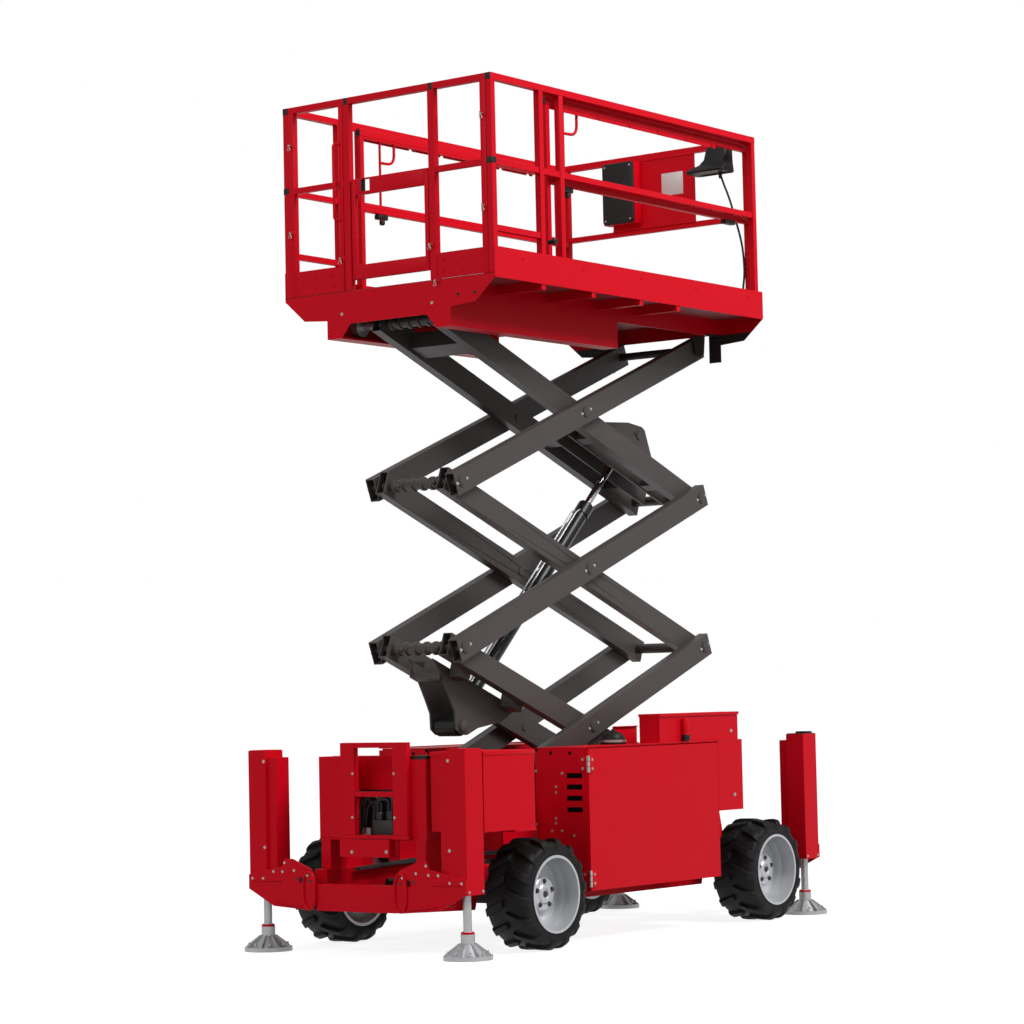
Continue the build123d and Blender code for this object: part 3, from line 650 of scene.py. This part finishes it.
# A tie-down hoop's bent rod and the flat foot beside it, as Y on the left side and Z
HOOP = (
    (0.300, 0.300), (0.300, 0.420), (0.322, 0.470), (0.362, 0.470),
    (0.384, 0.420), (0.384, 0.300), (0.362, 0.258), (0.322, 0.258),
)
HOOP_FOOT = ((0.40, 0.268), (0.60, 0.290), (0.60, 0.300), (0.40, 0.278))
for end, x_sign in (("rear", -1), ("front", 1)):
    for side_name, side in SIDES:
        name = end + "_" + side_name
        x, y = x_sign * JACK_X, side * JACK_Y
        face = x + x_sign * 0.078
        out = Vector((x_sign, 0, 0))
        kit = Kit()
        kit.bolts([(face, side * 0.690, 1.108), (face, side * 0.690, 0.608)], out, 0.0075)
        flank = Vector((0, side, 0))
        reaches = (x_sign * 0.062, -x_sign * 0.062)
        kit.bolts([(x + reach, side * 0.810, 0.378) for reach in reaches], flank, 0.0065)
        plate_x = x_sign * 1.870
        kit.bolts([(plate_x, side * a, b) for a, b in END_PLATE_BOLTS], out, 0.0065)
        kit.done("jack_bolts_" + name, "chassis", ZINC, "steel")
        kit = Kit()
        kit.turned(
            (x, y, JACK_FOOT_TOP_Z), UP,
            [(0, 0.0375), (0.003, 0.0385), (0.010, 0.0385), (JACK_RING_H, 0.0345)], 40,
        )
        kit.done("jack_ring_" + name, "jack_leg_" + name, RED, "red_paint")
        kit = Kit()
        kit.turned(
            (x, y, JACK_FOOT_TOP_Z + JACK_RING_H), UP,
            [(0, 0.032), (0.0018, 0.031), (0.0028, 0.0265), (0.0028, 0.0245)], 40,
        )
        for n in range(8):
            a = math.pi * (n + 0.5) / 4
            spot = (x + 0.112 * math.cos(a + 0.39), y + 0.112 * math.sin(a + 0.39), 0.0475)
            kit.turned(spot, UP, [(-0.01, 0.007), (0.001, 0.007), (0.003, 0.005)], 8)
        kit.done("jack_foot_detail_" + name, "jack_leg_" + name, STEEL, "steel")
        kit = Kit()
        kit.plate(
            (x - 0.074, y - 0.061, JACK_TOP_Z - 0.0005), (x + 0.074, y + 0.061, JACK_TOP_Z + 0.004), 0.002,
        )
        if name == "front_right":
            kit.plate(
                (x - 0.020, y - 0.050, JACK_TOP_Z + 0.003), (x + 0.060, y + 0.030, JACK_TOP_Z + 0.016),
                0.006,
            )
        look, kind = (BLACK, "black_paint") if name == "front_right" else (RED, "red_paint")
        kit.done("jack_cap_" + name, "chassis", look, kind)

# Tie-down hoops on the ends of the cross beams, and holes there drawn as black discs of painted shade
for end, x_sign in (("rear", -1), ("front", 1)):
    kit = Kit()
    for side in (-1, 1):
        x = x_sign * 1.8735
        loop = [(x, side * a, b) for a, b in HOOP]
        kit.bent(loop + loop[:2], 0.0075, 0.035, sides=8)
        kit.outline([(side * a, b) for a, b in HOOP_FOOT], x - 0.0035, x + 0.004)
        kit.plate((x - 0.003, side * 0.56, 0.4135), (x + 0.005, side * 0.770, 0.4195), 0.001)
    kit.done("bumper_hoops_" + end, "chassis", RED, "red_paint")
    # Painted shade: each hole is a thin black disc on the beam's end
    kit = Kit()
    for side in (-1, 1):
        hole_x = x_sign * 1.8705
        for a, b in ((0.336, 0.418), (0.434, 0.430)):
            kit.turned(
                (hole_x, side * a, b), (x_sign, 0, 0), [(0, 0.009), (0.0008, 0.009), (0.001, 0.001)], 16,
            )
    kit.done("bumper_hole_shade_" + end, "chassis", BLACK, "black_paint")


# ---------------------------------------------------------------- side trays, doors and chassis
def barrel(length, end, middle):
    """Rings of a hinge barrel: a millimetre of chamfer at each end."""
    return [(0, end), (0.001, middle), (length - 0.001, middle), (length, end)]


for side_name, side in SIDES:
    back = Vector(BACKWARD)
    outward = Vector((0, side, 0))
    # Painted shade: thin near-black discs and slots on the tray's rear face stand for its holes and slots
    kit = Kit()
    for y, z in ((0.420, 1.136), (0.526, 1.117), (0.667, 1.116)):
        kit.turned((TRAY_REAR, side * y, z), back, [(-0.001, 0.011), (0.0008, 0.011), (0.001, 0.001)], 16)
    for n in range(4):
        z = 0.783 + 0.0667 * n
        kit.plate(
            (TRAY_REAR - 0.001, side * 0.641, z - 0.015),
            (TRAY_REAR + 0.002, side * 0.752, z + 0.015), 0.0008,
        )
    kit.done("tray_slot_shade_" + side_name, "chassis", HOLE_SHADE, "black_paint")
    kit = Kit()
    spots = ((0.413, 1.009), (0.607, 0.995), (0.560, 0.916), (0.559, 0.882), (0.412, 0.696), (0.554, 0.702))
    spots += ((0.555, 0.730), (0.598, 0.657), (0.525, 0.656), (0.687, 0.631))
    kit.bolts([(TRAY_REAR, side * y, z) for y, z in spots], back, 0.007)
    kit.bolt((0.885, side * 0.800, 0.810), outward, 0.009)
    kit.done("tray_bolts_" + side_name, "chassis", ZINC, "steel")
    # Drip strip over the door and the folded bottom edge of the tray's front part
    kit = Kit()
    kit.plate((-0.671, side * 0.786, 1.150), (0.985, side * 0.8015, 1.156), 0.0015)
    kit.plate((0.713, side * 0.792, 0.716), (0.985, side * 0.8015, 0.724), 0.0015)
    kit.done("tray_edge_" + side_name, "chassis", RED, "red_paint")
    # Hinges: knuckles and leaf on the door, one knuckle and leaf on the tray
    leaf, fixed, plates, base = Kit(), Kit(), Kit(), Kit()
    for low in HINGES_Z:
        for a, b in ((0.002, 0.034), (0.068, 0.100)):
            leaf.turned((HINGE_X, side * HINGE_Y, low + a), UP, barrel(b - a, 0.009, 0.0105), 20)
        plates.plate((-0.681, side * 0.8055, low + 0.002), (-0.630, side * 0.8085, low + 0.098), 0.001)
        leaf.bolts([(-0.648, side * 0.8085, low + z) for z in (0.024, 0.076)], outward, 0.0065)
        fixed.turned((HINGE_X, side * HINGE_Y, low + 0.036), UP, barrel(0.030, 0.009, 0.0105), 20)
        base.plate(
            (TRAY_REAR - 0.0035, side * 0.735, low + 0.002), (TRAY_REAR, side * 0.797, low + 0.098), 0.001,
        )
        fixed.bolts([(TRAY_REAR - 0.0035, side * 0.760, low + z) for z in (0.024, 0.076)], back, 0.0065)
    leaf.done("hinge_leaves_" + side_name, "door_" + side_name, ZINC, "steel")
    fixed.done("hinge_fixed_" + side_name, "chassis", ZINC, "steel")
    plates.done("hinge_plates_" + side_name, "door_" + side_name, RED, "red_paint")
    base.done("hinge_bases_" + side_name, "chassis", RED, "red_paint")

# Latch post, filter bowl and cover panel on top of the right tray
kit = Kit()
kit.turned((*LATCH, 1.196), UP, [(0, 0.0215), (0.098, 0.0215), (0.103, 0.0190), (0.104, 0.001)], 32)
kit.plate((0.350, -0.786, 1.185), (0.374, -0.773, 1.290), 0.002)
kit.done("latch_post", "chassis", RED, "red_paint")
kit = Kit()
kit.turned((*LATCH, 1.160), UP, [(0, 0.022), (0.003, 0.0245), (0.034, 0.0245), (0.037, 0.0225)], 32)
kit.done("latch_collar", "chassis", PLASTIC, "black_paint")
kit = Kit()
kit.turned((*FILTER, 1.150), UP, [
    (0, 0.076), (0.010, 0.078), (0.034, 0.078), (0.038, 0.074), (0.040, 0.069),
    (0.058, 0.062), (0.072, 0.045), (0.080, 0.026), (0.082, 0.001),
], 48)
kit.rod((*FILTER, 1.225), (*FILTER, 1.243), 0.012)
kit.done("filter_bowl", "chassis", PLASTIC, "black_paint")
kit = Kit()
kit.turned((*FILTER, 1.163), UP, [(0, 0.0765), (0.0005, 0.0805), (0.0155, 0.0805), (0.016, 0.0765)], 48)
kit.plate((-0.090, -0.512, 1.164), (-0.078, -0.498, 1.178), 0.002)
kit.done("filter_band", "chassis", ZINC, "steel")
kit = Kit()
kit.plate((0.105, -0.432, 1.149), (0.360, -0.426, 1.258), 0.002)
kit.plate((0.105, -0.445, 1.149), (0.360, -0.426, 1.155), 0.002)
kit.plate((0.105, -0.445, 1.252), (0.360, -0.426, 1.258), 0.002)
kit.done("cover_panel", "chassis", RED, "red_paint")
kit = Kit()
kit.bolt((0.900, -0.774, 1.210), (0, -1, 0), 0.009)
kit.done("tall_box_bolts", "chassis", ZINC, "steel")

# Ladder bolts, the rear box's slots and back in black as painted shade, and the valves, hoses and plate
# inside it
kit = Kit()
kit.bolts(
    [(-1.740, y, z) for y, z in ((0.109, 1.033), (0.115, 0.782), (-0.199, 1.033), (-0.199, 0.782))],
    BACKWARD, 0.006,
)
kit.bolts([(-1.760, 0.106, 0.584), (-1.760, -0.152, 0.588)], BACKWARD, 0.008)
kit.done("ladder_bolts", "chassis", ZINC, "steel")
# Painted shade: black slots in the rear box's sides, a black sheet for its back behind the valves and a black
# strip near its top
kit = Kit()
for side in (-1, 1):
    for low, high in ((0.989, 1.059), (0.733, 0.807)):
        kit.plate((-1.641, side * 0.3985, low), (-1.619, side * 0.4008, high), 0.001)
kit.plate((-1.5715, -0.285, 0.662), (-1.5695, 0.195, 0.935), 0.0005)
kit.plate((-1.702, -0.402, 1.112), (-1.565, -0.292, 1.1325), 0.002)
kit.done("rear_box_shade", "chassis", PLASTIC, "black_paint")
kit = Kit()
kit.plate((-1.625, -0.090, 0.672), (-1.573, 0.060, 0.760), 0.006)
kit.plate((-1.612, -0.075, 0.760), (-1.578, -0.030, 0.815), 0.006)
kit.plate((-1.612, 0.005, 0.760), (-1.578, 0.050, 0.800), 0.006)
kit.turned(
    (-1.600, -0.150, 0.660), UP,
    [(0, 0.040), (0.004, 0.044), (0.105, 0.044), (0.112, 0.036), (0.140, 0.030), (0.142, 0.001)], 32,
)
kit.done("valve_block", "chassis", CAST, "cast")
kit = Kit()
for y, z, top in (
    (-0.060, 0.800, 0.905), (-0.035, 0.795, 0.885), (0.020, 0.790, 0.870), (0.040, 0.785, 0.900),
):
    rise = [(-1.596, y, z), (-1.596, y - 0.01, top)]
    kit.bent(rise + [(-1.605, y + 0.09, top - 0.01), (-1.600, y + 0.12, 0.680)], 0.0085, 0.05)
kit.bent(
    [(-1.605, -0.130, 0.800), (-1.605, -0.120, 0.870), (-1.612, -0.220, 0.850), (-1.606, -0.262, 0.668)],
    0.010, 0.05,
)
kit.bent(
    [(-1.606, 0.165, 0.668), (-1.612, 0.170, 0.840), (-1.600, 0.120, 0.900), (-1.590, 0.030, 0.760)],
    0.010, 0.05,
)
kit.done("valve_hoses", "chassis", HOSE, "black_paint")
kit = Kit()
for y in (-0.060, -0.035, 0.020, 0.040):
    kit.turned((-1.596, y, 0.778), UP, [(0, 0.0125), (0.012, 0.0125), (0.013, 0.0105), (0.024, 0.0105)], 6)
kit.done("valve_fittings", "chassis", ZINC, "steel")
kit = Kit()
kit.plate((-1.606, 0.100, 0.664), (-1.590, 0.155, 0.715), 0.0008)
kit.done("ladder_plate", "chassis", LABEL, "steel")
# Grip pads on the ladder's steps
kit = Kit()
for reach, low, high in ((-1.738, 0.900 + 0.0290, 0.900 + 0.0325), (-1.758, 0.656 - 0.001, 0.656 + 0.003)):
    for n in range(9):
        y = -0.170 + 0.032 * n
        kit.plate((reach, y, low), (-1.704, y + 0.012, high), 0.001)
kit.done("ladder_grips", "chassis", PLASTIC, "black_paint")

# Hydraulic hoses along the inner faces of the chassis rails
kit = Kit()
for side in (-1, 1):
    for n in range(2):
        y = side * (0.286 - 0.024 * n)
        heights = ((-1.52, 0.470), (-0.9, 0.500 - 0.01 * n), (0.2, 0.492), (1.05, 0.500), (1.36, 0.470))
        kit.bent([(x, y, z) for x, z in heights], 0.009, 0.15)
kit.done("chassis_hoses", "chassis", HOSE, "black_paint")

# Toolbox lid edge and stepped bottom flange
kit = Kit()
kit.plate((-1.684, -0.8035, 1.128), (-1.196, -0.417, 1.1535), 0.003)
kit.plate((-1.400, -0.803, 0.690), (-1.197, -0.500, 0.706), 0.002)
kit.done("toolbox_edges", "chassis", RED, "red_paint")

# ---------------------------------------------------------------- platform
kit = Kit()
for side in (-1, 1):
    for z in (3.925, 3.990):
        for y in (0.420, 0.560, 0.700):
            kit.bolt((RAIL_X, side * y, z), BACKWARD, 0.0055)
    for x in (-1.20, -0.60, 0.0, 0.60, 1.20):
        kit.bolt((x, side * 0.800, 3.985), (0, side, 0), 0.0055)
kit.done("platform_bolts", "platform", RED, "red_paint")
kit = Kit()
kit.bolts([(RAIL_X, -0.333, 3.750), (RAIL_X, 0.354, 3.748)], BACKWARD, 0.0075)
kit.done("platform_stop_bolts", "platform", ZINC, "steel")
kit = Kit()
kit.bolts([(RAIL_X, -0.525, 3.783), (RAIL_X, -0.651, 3.781)], BACKWARD, 0.0075)
kit.done("platform_dark_bolts", "platform", BLACK, "black_paint")
# Second upright of each side rail, inner corner uprights, the one beside the gate and the top rails' lips
kit = Kit()
for side in (-1, 1):
    kit.plate((-0.808, side * 0.756, 3.880), (-0.768, side * 0.795, 5.003), 0.004)
    kit.plate((RAIL_X - 0.002, side * 0.714, 3.880), (-1.431, side * 0.755, 5.003), 0.003)
kit.plate((RAIL_X - 0.002, 0.327, 3.880), (-1.434, 0.357, 5.003), 0.003)
for side in (-1, 1):
    kit.plate((-0.970, side * 0.7575, 4.984), (1.290, side * 0.7625, 5.0035), 0.001)
kit.done("rail_uprights", "platform", RED, "red_paint")
# Black end caps of the rail tubes, drawn taller to take in a painted gap shadow, and collars of the rail
# tubes
kit = Kit()
for side in (-1, 1):
    kit.plate(
        (RAIL_X - 0.003, side * RAIL_Y[0], RAIL_CAP_AND_SHADOW_Z[0]),
        (RAIL_X + 0.004, side * RAIL_Y[1], RAIL_CAP_AND_SHADOW_Z[1]), 0.0012,
    )
    kit.plate((RAIL_X - 0.003, side * 0.757, 4.515), (-1.4295, side * 0.7975, 4.552), 0.002)
    kit.plate((1.326, side * RAIL_Y[0], RAIL_CAP_AND_SHADOW_Z[0]), (1.3335, side * RAIL_Y[1], RAIL_CAP_AND_SHADOW_Z[1]), 0.0012)
    kit.turned((-1.419, side * 0.770, 3.890), UP, [(0, 0.030), (0.020, 0.028), (0.024, 0.020)], 20)
for y in (-0.350, 0.300):
    kit.plate((RAIL_X - 0.0025, y - 0.014, 4.998), (RAIL_X + 0.004, y + 0.014, 5.040), 0.0012)
kit.done("rail_caps_and_gap_shadow", "platform", PLASTIC, "black_paint")
kit = Kit()
for side in (-1, 1):
    kit.plate((-0.8635, side * 0.7015, 4.951), (-0.857, side * 0.7345, 4.989), 0.0012)
kit.done("extension_caps", "extension", PLASTIC, "black_paint")
# Retaining pins and their brackets on the posts
pins, straps = Kit(), Kit()
for y, z in (
    (-0.337, 4.089), (-0.374, 3.872), (0.344, 4.077), (0.735, 4.272), (0.735, 4.806), (-0.735, 4.272),
    (-0.735, 4.806),
):
    straps.plate((RAIL_X - 0.006, y - 0.022, z - 0.016), (RAIL_X + 0.002, y + 0.022, z + 0.016), 0.002)
    pins.rod((RAIL_X - 0.024, y, z), (RAIL_X + 0.004, y, z), 0.0065, sides=16)
    top, low_x = (RAIL_X - 0.020, y, z - 0.005), RAIL_X - 0.022
    pins.bent([top, (low_x, y - 0.015, z - 0.03), (low_x, y + 0.015, z - 0.03), top], 0.0015, 0.01, sides=6)
straps.done("rail_brackets", "platform", RED, "red_paint")
pins.done("rail_pins", "platform", ZINC, "steel")
# Bent grab handle beside the gate
kit = Kit()
kit.bent(
    [(-1.466, 0.340, 4.770), (-1.500, 0.375, 4.770), (-1.500, 0.375, 4.310), (-1.466, 0.340, 4.310)],
    0.009, 0.045, sides=16,
)
kit.done("grab_handle", "platform", RED, "red_paint")

# Gate: formed frame with a hand hole, hinge barrels and latch
kit = Kit()
kit.plate((GATE_X[0], -0.288, 4.447), (GATE_X[1], 0.127, 4.545), 0.003)
kit.plate((GATE_X[0], 0.184, 4.447), (GATE_X[1], 0.240, 4.545), 0.003)
kit.plate((GATE_X[0], 0.120, 4.447), (GATE_X[1], 0.190, 4.466), 0.002)
kit.plate((GATE_X[0], 0.120, 4.538), (GATE_X[1], 0.190, 4.545), 0.002)
kit.plate((GATE_X[0], -0.290, 3.944), (GATE_X[1], 0.240, 4.029), 0.003)
for y in (-0.318, 0.238):
    kit.plate((GATE_X[0], y, 3.944), (GATE_X[1], y + 0.030, 4.545), 0.004)
for z in (4.184, 4.480):
    kit.plate((-1.441, -0.318, z), (-1.421, -0.300, z + 0.040), 0.002)
    kit.turned((-1.421, -0.322, z), UP, barrel(0.040, 0.0078, 0.009), 20)
gate = kit.done("gate_frame", "gate", RED, "red_paint")
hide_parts("gate")
kit = Kit()
kit.plate((-1.4705, 0.181, 4.466), (-1.437, 0.192, 4.538), 0.003)
kit.done("gate_latch", "gate", PLASTIC, "black_paint")

# Extension: notched strip under the side rails, pull rods, handles and black knobs
strip, rods, knobs = Kit(), Kit(), Kit()
NOTCHES = (-0.33, -0.01, 0.30, 0.61, 0.91)
NOTCH_HALF = 0.016
for side in (-1, 1):
    edges = [-0.820]
    for x in NOTCHES:
        edges += [x - NOTCH_HALF, x + NOTCH_HALF]
    edges.append(0.960)
    for a, b in zip(edges[::2], edges[1::2]):
        strip.plate((a, side * 0.729, 4.926), (b, side * 0.7355, 4.9495), 0.0015)
    strip.plate((-0.822, side * 0.701, 4.936), (0.962, side * 0.733, 4.952), 0.0015)
    strip.plate((-0.856, side * 0.702, 4.986), (1.322, side * 0.7345, 5.000), 0.0015)
    strip.plate((-0.822, side * 0.702, 4.502), (1.322, side * 0.7345, 4.536), 0.0015)
    y = side * 0.7115
    rods.bent([(-0.660, y, 4.946), (-0.660, y, 4.440)], 0.008, 0.02, sides=12)
    rods.bent([(-0.520, y, 4.946), (-0.520, y, 4.810), (-0.660, y, 4.806)], 0.009, 0.075, sides=12)
    knobs.plate((-0.695, side * 0.700, 4.447), (-0.600, side * 0.737, 4.479), 0.005)
    knobs.turned(
        (-0.640, side * 0.7185, 4.447), DOWN,
        [(0, 0.016), (0.010, 0.018), (0.026, 0.018), (0.032, 0.010), (0.033, 0.001)], 20,
    )
knobs.plate((1.050, -0.742, 4.455), (1.165, -0.700, 4.482), 0.005)
strip.done("extension_strip", "extension", RED, "red_paint")
rods.done("extension_handles", "extension", RED, "red_paint")
knobs.done("extension_knobs", "extension", PLASTIC, "black_paint")
kit = Kit()
for side in (-1, 1):
    kit.turned(
        (-0.890, side * 0.776, 4.120), (0, side, 0),
        [(-0.016, 0.014), (0.004, 0.014), (0.022, 0.020), (0.034, 0.020), (0.038, 0.014), (0.038, 0.001)],
        24,
    )
kit.done("slide_lock_knobs", "platform", PLASTIC, "black_paint")

# Control console on the front rail: wide skirt, narrower housing, stick, buttons, stop button and guard
console = Kit()


def rounded(low, high, z, reach, corner):
    """A closed ring with rounded corners at one height, grown outwards by reach."""
    x0, y0, x1, y1 = low[0] - reach, low[1] - reach, high[0] + reach, high[1] + reach
    ring = []
    for cx, cy, start in ((x1, y1, 0), (x0, y1, 90), (x0, y0, 180), (x1, y0, 270)):
        px = cx - math.copysign(corner, cx - (x0 + x1) / 2)
        py = cy - math.copysign(corner, cy - (y0 + y1) / 2)
        for n in range(CORNER_STEPS + 1):
            a = math.radians(start + 90 * n / CORNER_STEPS)
            ring.append((px + corner * math.cos(a), py + corner * math.sin(a), z))
    return ring


# Sections of the console from below: height, then the rear, right, front and left edges
LEVELS = (
    (4.840, 1.190, -0.630, 1.3180, -0.395),
    (4.830, 1.165, -0.645, 1.3235, -0.360),
    (4.842, 1.160, -0.648, 1.3235, -0.355),
    (4.862, 1.175, -0.645, 1.3235, -0.375),
    (4.885, 1.205, -0.642, 1.3235, -0.430),
    (4.920, 1.215, -0.640, 1.3235, -0.465),
    (4.985, 1.220, -0.638, 1.3235, -0.480),
    (4.998, 1.226, -0.632, 1.3235, -0.486),
    (5.003, 1.235, -0.622, 1.3180, -0.496),
)
rings = []
for z, x0, y0, x1, y1 in LEVELS:
    ring = rounded((x0, y0), (x1, y1), z, 0.0, 0.024)
    rings.append([console.mesh.verts.new(spot) for spot in ring])
console.skin(rings)
control = console.done("console_body", "extension", PLASTIC, "plastic")
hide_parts("control_box")
kit = Kit()
kit.turned(
    (1.262, -0.525, 4.998), UP,
    [
        (0, 0.024), (0.004, 0.024), (0.010, 0.016), (0.013, 0.007), (0.028, 0.007), (0.030, 0.011),
        (0.036, 0.0115), (0.038, 0.008),
    ],
    24,
)
kit.plate((1.226, -0.622, 4.990), (1.238, -0.498, 5.020), 0.004)
kit.done("console_stick", "extension", PLASTIC, "plastic")
kit = Kit()
for n in range(3):
    kit.turned(
        (1.300, -0.520 - 0.030 * n, 5.001), UP,
        [(0, 0.009), (0.005, 0.009), (0.006, 0.007), (0.006, 0.001)], 16,
    )
kit.done("console_buttons", "extension", ZINC, "steel")
kit = Kit()
kit.turned(
    (1.262, -0.590, 5.000), UP,
    [(0, 0.012), (0.012, 0.012), (0.013, 0.019), (0.024, 0.019), (0.027, 0.013), (0.027, 0.001)], 24,
)
kit.done("console_stop_button", "extension", RED, "red_paint")
kit = Kit()
kit.turned(CABLE[0], DOWN, [(-0.012, 0.013), (0.0, 0.013), (0.018, 0.011), (0.032, 0.0085)], 20)
kit.turned(CABLE[-1], UP, [(-0.007, 0.015), (0.008, 0.015), (0.012, 0.012), (0.030, 0.0085)], 20)
kit.done("cable_glands", "extension", PLASTIC, "black_paint")

# Front panel: rounded black cover of the wiring box, its screws, a blank plate and turned edges
kit = Kit()
rings = []
for x, reach in ((1.2405, 0.001), (1.2320, 0.001), (1.2255, -0.004), (1.2230, -0.012)):
    ring = rounded((4.580, 0.100), (4.990, 0.350), x, reach, 0.026)
    rings.append([kit.mesh.verts.new((z, b, a)) for a, b, z in ring])
kit.skin(rings)
kit.done("box_cover", "extension", PLASTIC, "black_paint")
kit = Kit()
kit.bolts([(1.2235, y, z) for y in (0.125, 0.325) for z in (4.605, 4.965)], BACKWARD, 0.005)
kit.done("box_cover_screws", "extension", ZINC, "steel")
kit = Kit()
kit.plate((1.3165, -0.240, 4.740), (1.3185, -0.070, 4.890), 0.0008)
kit.done("panel_plate", "extension", LABEL, "steel")
kit = Kit()
kit.plate((1.312, -0.333, 4.993), (1.324, 0.330, 5.0005), 0.002)
kit.plate((1.312, -0.333, 4.5395), (1.324, 0.330, 4.547), 0.002)
kit.done("panel_edges", "extension", RED, "red_paint")
